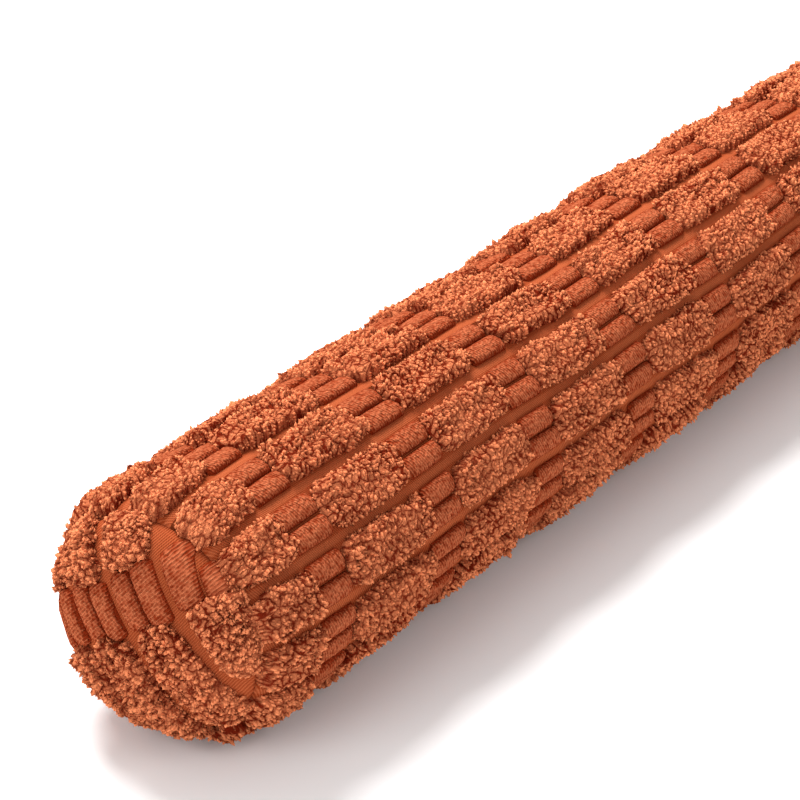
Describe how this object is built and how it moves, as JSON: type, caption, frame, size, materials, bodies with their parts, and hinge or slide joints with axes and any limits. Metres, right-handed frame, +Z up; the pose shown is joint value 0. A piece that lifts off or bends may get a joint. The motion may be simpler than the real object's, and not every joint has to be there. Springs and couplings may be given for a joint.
{
  "type": "draught excluder",
  "caption": "Long filled tube of ribbed pile cloth with a domed disc sewn on at each end, laid along the foot of a door or window to keep draughts out.",
  "frame": {"origin": "under the middle of the tube, on the floor that it lies on", "axes": "+X along the tube towards its far end, +Z up; the pictured end is the one at -X"},
  "size_m": [0.901, 0.1545, 0.1408],
  "materials": {
    "tube_cloth": "rust cut pile in tall tufts and low ribs on a flat knitted ground, matt",
    "disc_cloth": "the same rust pile cloth, with its rows slanting across the disc, matt"
  },
  "bodies": {
    "root": {"tube": "tube_cloth", "disc_near": "disc_cloth", "disc_far": "disc_cloth"}
  },
  "joints": []
}
